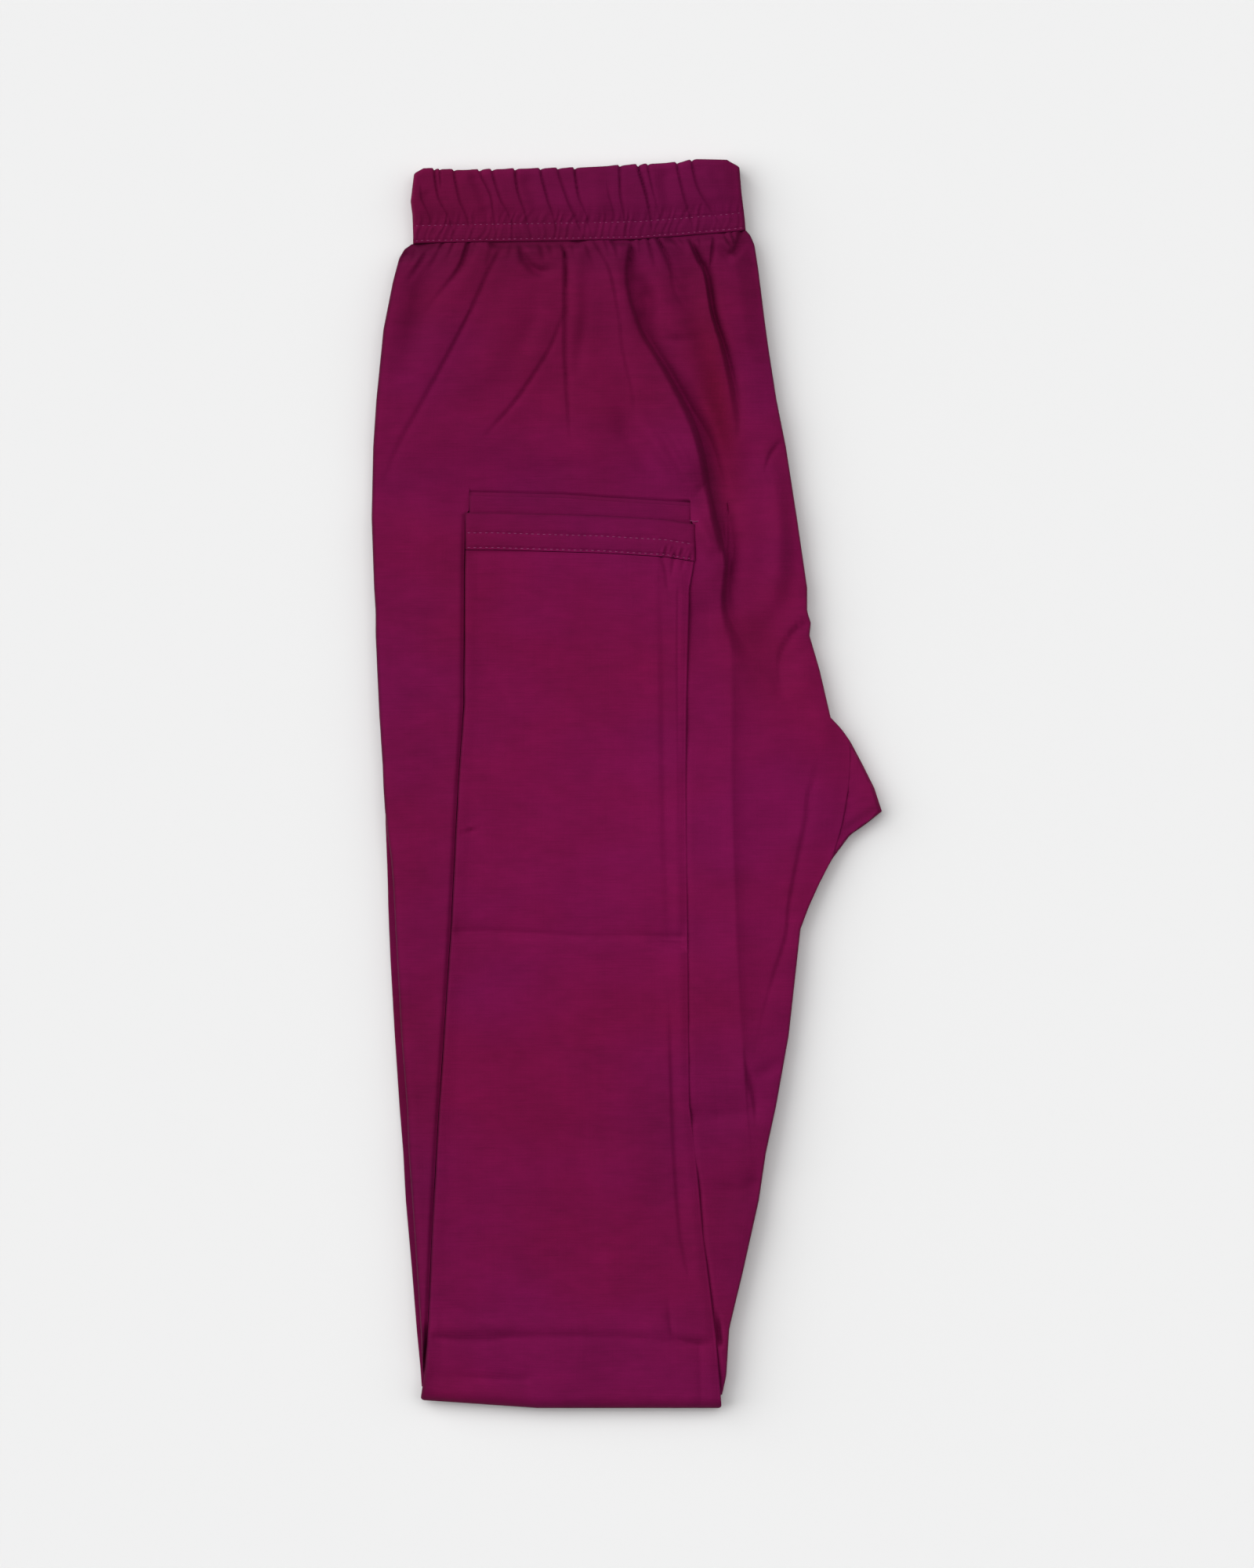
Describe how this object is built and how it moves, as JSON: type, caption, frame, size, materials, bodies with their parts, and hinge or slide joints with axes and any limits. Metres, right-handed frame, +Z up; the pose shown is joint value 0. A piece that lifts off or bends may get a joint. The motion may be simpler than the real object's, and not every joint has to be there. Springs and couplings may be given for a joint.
{
  "type": "folded pull-on trousers",
  "caption": "Slim pull-on trousers in woven cotton with a gathered elastic waistband, folded in half lengthwise and then up at the knee, lying flat.",
  "frame": {"origin": "centre of the footprint, on the surface that the garment lies on", "axes": "+Z up out of the surface, +Y along the folded garment from the knee turn to the waistband, +X across it towards the crotch"},
  "size_m": [0.228, 0.5574, 0.012],
  "materials": {
    "leg_cotton": "matt plum slub cotton, plain weave",
    "waistband_cotton": "the same matt cotton, gathered over elastic"
  },
  "bodies": {
    "root": {"left_leg_thigh": "leg_cotton", "left_leg_shin": "leg_cotton", "left_leg_hem": "leg_cotton", "right_leg_thigh": "leg_cotton", "right_leg_shin": "leg_cotton", "right_leg_hem": "leg_cotton", "waistband_left": "waistband_cotton", "waistband_right": "waistband_cotton"}
  },
  "joints": []
}
